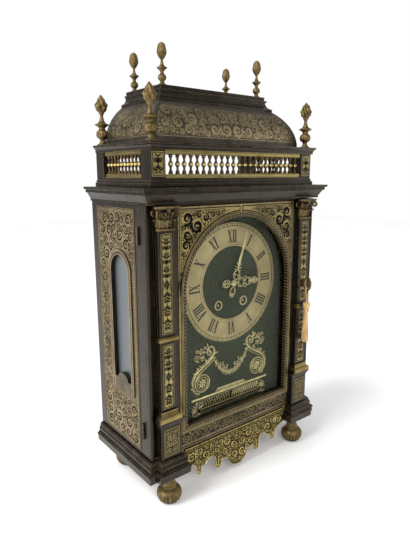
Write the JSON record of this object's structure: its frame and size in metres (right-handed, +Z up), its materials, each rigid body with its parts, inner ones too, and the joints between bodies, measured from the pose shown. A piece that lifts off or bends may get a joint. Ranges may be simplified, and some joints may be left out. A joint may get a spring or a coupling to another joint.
{
  "type": "religieuse table clock",
  "caption": "Arched-door table clock in an ebonised and brass-inlaid case, with a baluster gallery, a dome with turned finials, bun feet, a key with a tassel and a going movement.",
  "frame": {"origin": "on the floor under the middle of the whole clock, feet at z 0", "axes": "+Z up, the dial and the door face -Y, +X to the right as seen from the front"},
  "size_m": [0.341, 0.1778, 0.625],
  "materials": {
    "ebony": "black polished ebonised wood with faint wear",
    "oak": "plain oiled oak carcass wood",
    "gilt": "fire-gilt bronze, worn and darkened in the hollows",
    "brass": "polished clock brass",
    "marquetry": "brass scrollwork inlaid in dark shell",
    "velvet": "dark grey-green velvet",
    "numeral_wax": "black wax filling",
    "glass": "old hand-blown glass",
    "steel": "ground clock steel",
    "bell_metal": "turned bell metal",
    "silk": "golden yellow silk thread",
    "iron": "dark wrought iron"
  },
  "bodies": {
    "case": {"bun_feet": "gilt", "base_board": "oak", "base_moulding": "ebony", "apron": "gilt", "left_side": "ebony", "right_side": "ebony", "side_marquetry": "marquetry", "window_frames": "gilt", "window_glass": "glass", "back_panel": "oak", "top_board": "ebony", "cornice": "ebony", "gallery_plinth": "ebony", "gallery_rails": "brass", "balusters": "gilt", "gallery_cornice": "ebony", "dome": "marquetry", "top_platform": "ebony", "flame_finials": "gilt", "cone_finials": "gilt", "dial_board": "velvet", "chapter_ring": "brass", "chapter_numerals": "numeral_wax", "dial_mounts": "gilt", "case_hinges": "brass", "front_plate": "brass", "back_plate": "brass", "suspension_cock": "brass", "bell": "bell_metal", "strike_barrel": "brass"},
    "front_door": {"door_frame": "ebony", "door_arch_frame": "gilt", "door_glass": "glass", "door_marquetry": "marquetry", "pilasters": "ebony", "capitals": "gilt", "pilaster_mounts": "gilt", "door_lock": "iron", "door_hinges": "brass"},
    "key": {"key": "steel"},
    "tassel": {"tassel": "silk", "tassel_cord": "silk"},
    "lock_bolt": {"lock_bolt": "iron"},
    "back_door": {"back_door": "oak"},
    "back_door_catch": {"back_door_catch": "brass"},
    "minute_arbor": {"centre_wheel": "brass", "minute_hand": "gilt"},
    "hour_pipe": {"hour_wheel": "brass", "hour_hand": "gilt"},
    "minute_wheel": {"minute_wheel": "brass"},
    "intermediate_wheel": {"intermediate_wheel": "brass"},
    "going_barrel": {"going_barrel": "brass"},
    "going_arbor": {"going_arbor": "steel"},
    "strike_arbor": {"strike_arbor": "steel"},
    "third_wheel": {"third_wheel": "brass"},
    "escape_wheel": {"escape_wheel": "brass"},
    "pallet_anchor": {"pallet_anchor": "steel"},
    "pendulum": {"pendulum_rod": "steel", "pendulum_bob": "brass"},
    "hammer": {"hammer": "steel"}
  },
  "joints": [
    {"name": "front_door_swing", "type": "hinge", "parent": "case", "child": "front_door", "pos_m": [-0.1603, -0.04788, 0.245], "axis": [0, 0, -1], "range_deg": [0, 100]},
    {"name": "key_turn", "type": "hinge", "parent": "front_door", "child": "key", "pos_m": [0.1327, -0.08113, 0.281], "axis": [0, 1, 0], "range_deg": [0, 90]},
    {"name": "bolt_throw", "type": "slide", "parent": "front_door", "child": "lock_bolt", "axis": [1, 0, 0], "range_m": [0, 0.006]},
    {"name": "tassel_swing", "type": "hinge", "parent": "key", "child": "tassel", "pos_m": [0.1327, -0.08113, 0.271], "axis": [0, 1, 0], "range_deg": [-90, 0]},
    {"name": "back_door_swing", "type": "hinge", "parent": "case", "child": "back_door", "pos_m": [-0.095, 0.08048, 0.245], "axis": [0, 0, 1], "range_deg": [0, 110]},
    {"name": "catch_turn", "type": "hinge", "parent": "back_door", "child": "back_door_catch", "pos_m": [0.078, 0.07888, 0.245], "axis": [0, -1, 0], "range_deg": [0, 90]},
    {"name": "minute_turn", "type": "hinge", "parent": "case", "child": "minute_arbor", "pos_m": [0, -0.00513, 0.2963], "axis": [0, 1, 0], "continuous": true},
    {"name": "hour_turn", "type": "hinge", "parent": "case", "child": "hour_pipe", "pos_m": [0, -0.04312, 0.2963], "axis": [0, 1, 0], "continuous": true},
    {"name": "minute_wheel_turn", "type": "hinge", "parent": "case", "child": "minute_wheel", "pos_m": [0.006, -0.03213, 0.30669], "axis": [0, 1, 0], "continuous": true},
    {"name": "intermediate_turn", "type": "hinge", "parent": "case", "child": "intermediate_wheel", "pos_m": [0.0191, -0.00513, 0.29038], "axis": [0, 1, 0], "continuous": true},
    {"name": "going_barrel_turn", "type": "hinge", "parent": "case", "child": "going_barrel", "pos_m": [0.0248, -0.00912, 0.2646], "axis": [0, 1, 0], "continuous": true},
    {"name": "third_turn", "type": "hinge", "parent": "case", "child": "third_wheel", "pos_m": [-0.00984, -0.00613, 0.31268], "axis": [0, 1, 0], "continuous": true},
    {"name": "escape_turn", "type": "hinge", "parent": "case", "child": "escape_wheel", "pos_m": [0, -0.00613, 0.3263], "axis": [0, 1, 0], "continuous": true},
    {"name": "going_winding", "type": "hinge", "parent": "case", "child": "going_arbor", "pos_m": [0.0248, -0.01512, 0.2646], "axis": [0, 1, 0], "range_deg": [0, 1440]},
    {"name": "strike_winding", "type": "hinge", "parent": "case", "child": "strike_arbor", "pos_m": [-0.0248, -0.01512, 0.2646], "axis": [0, -1, 0], "range_deg": [0, 1440]},
    {"name": "pendulum_swing", "type": "hinge", "parent": "case", "child": "pendulum", "pos_m": [0, 0.03087, 0.3443], "axis": [0, 1, 0], "range_deg": [-3, 3]},
    {"name": "anchor_rock", "type": "hinge", "parent": "case", "child": "pallet_anchor", "pos_m": [0, -0.00513, 0.3443], "axis": [0, 1, 0], "range_deg": [-3, 3]},
    {"name": "hammer_lift", "type": "hinge", "parent": "case", "child": "hammer", "pos_m": [-0.03, -0.00613, 0.33], "axis": [0, -1, 0], "range_deg": [0, 12], "stiffness_Nm_per_rad": 0.02}
  ],
  "couplings": [
    {"joint": "key_turn", "follows": "bolt_throw", "rad_per_m": 261.8},
    {"joint": "tassel_swing", "follows": "bolt_throw", "rad_per_m": -261.8},
    {"joint": "hour_turn", "follows": "minute_turn", "ratio": 0.083333},
    {"joint": "minute_wheel_turn", "follows": "minute_turn", "ratio": -0.33333},
    {"joint": "intermediate_turn", "follows": "minute_turn", "ratio": -0.11111},
    {"joint": "going_barrel_turn", "follows": "minute_turn", "ratio": 0.015873},
    {"joint": "third_turn", "follows": "minute_turn", "ratio": -12},
    {"joint": "escape_turn", "follows": "minute_turn", "ratio": 132},
    {"joint": "anchor_rock", "follows": "pendulum_swing", "ratio": 1}
  ]
}
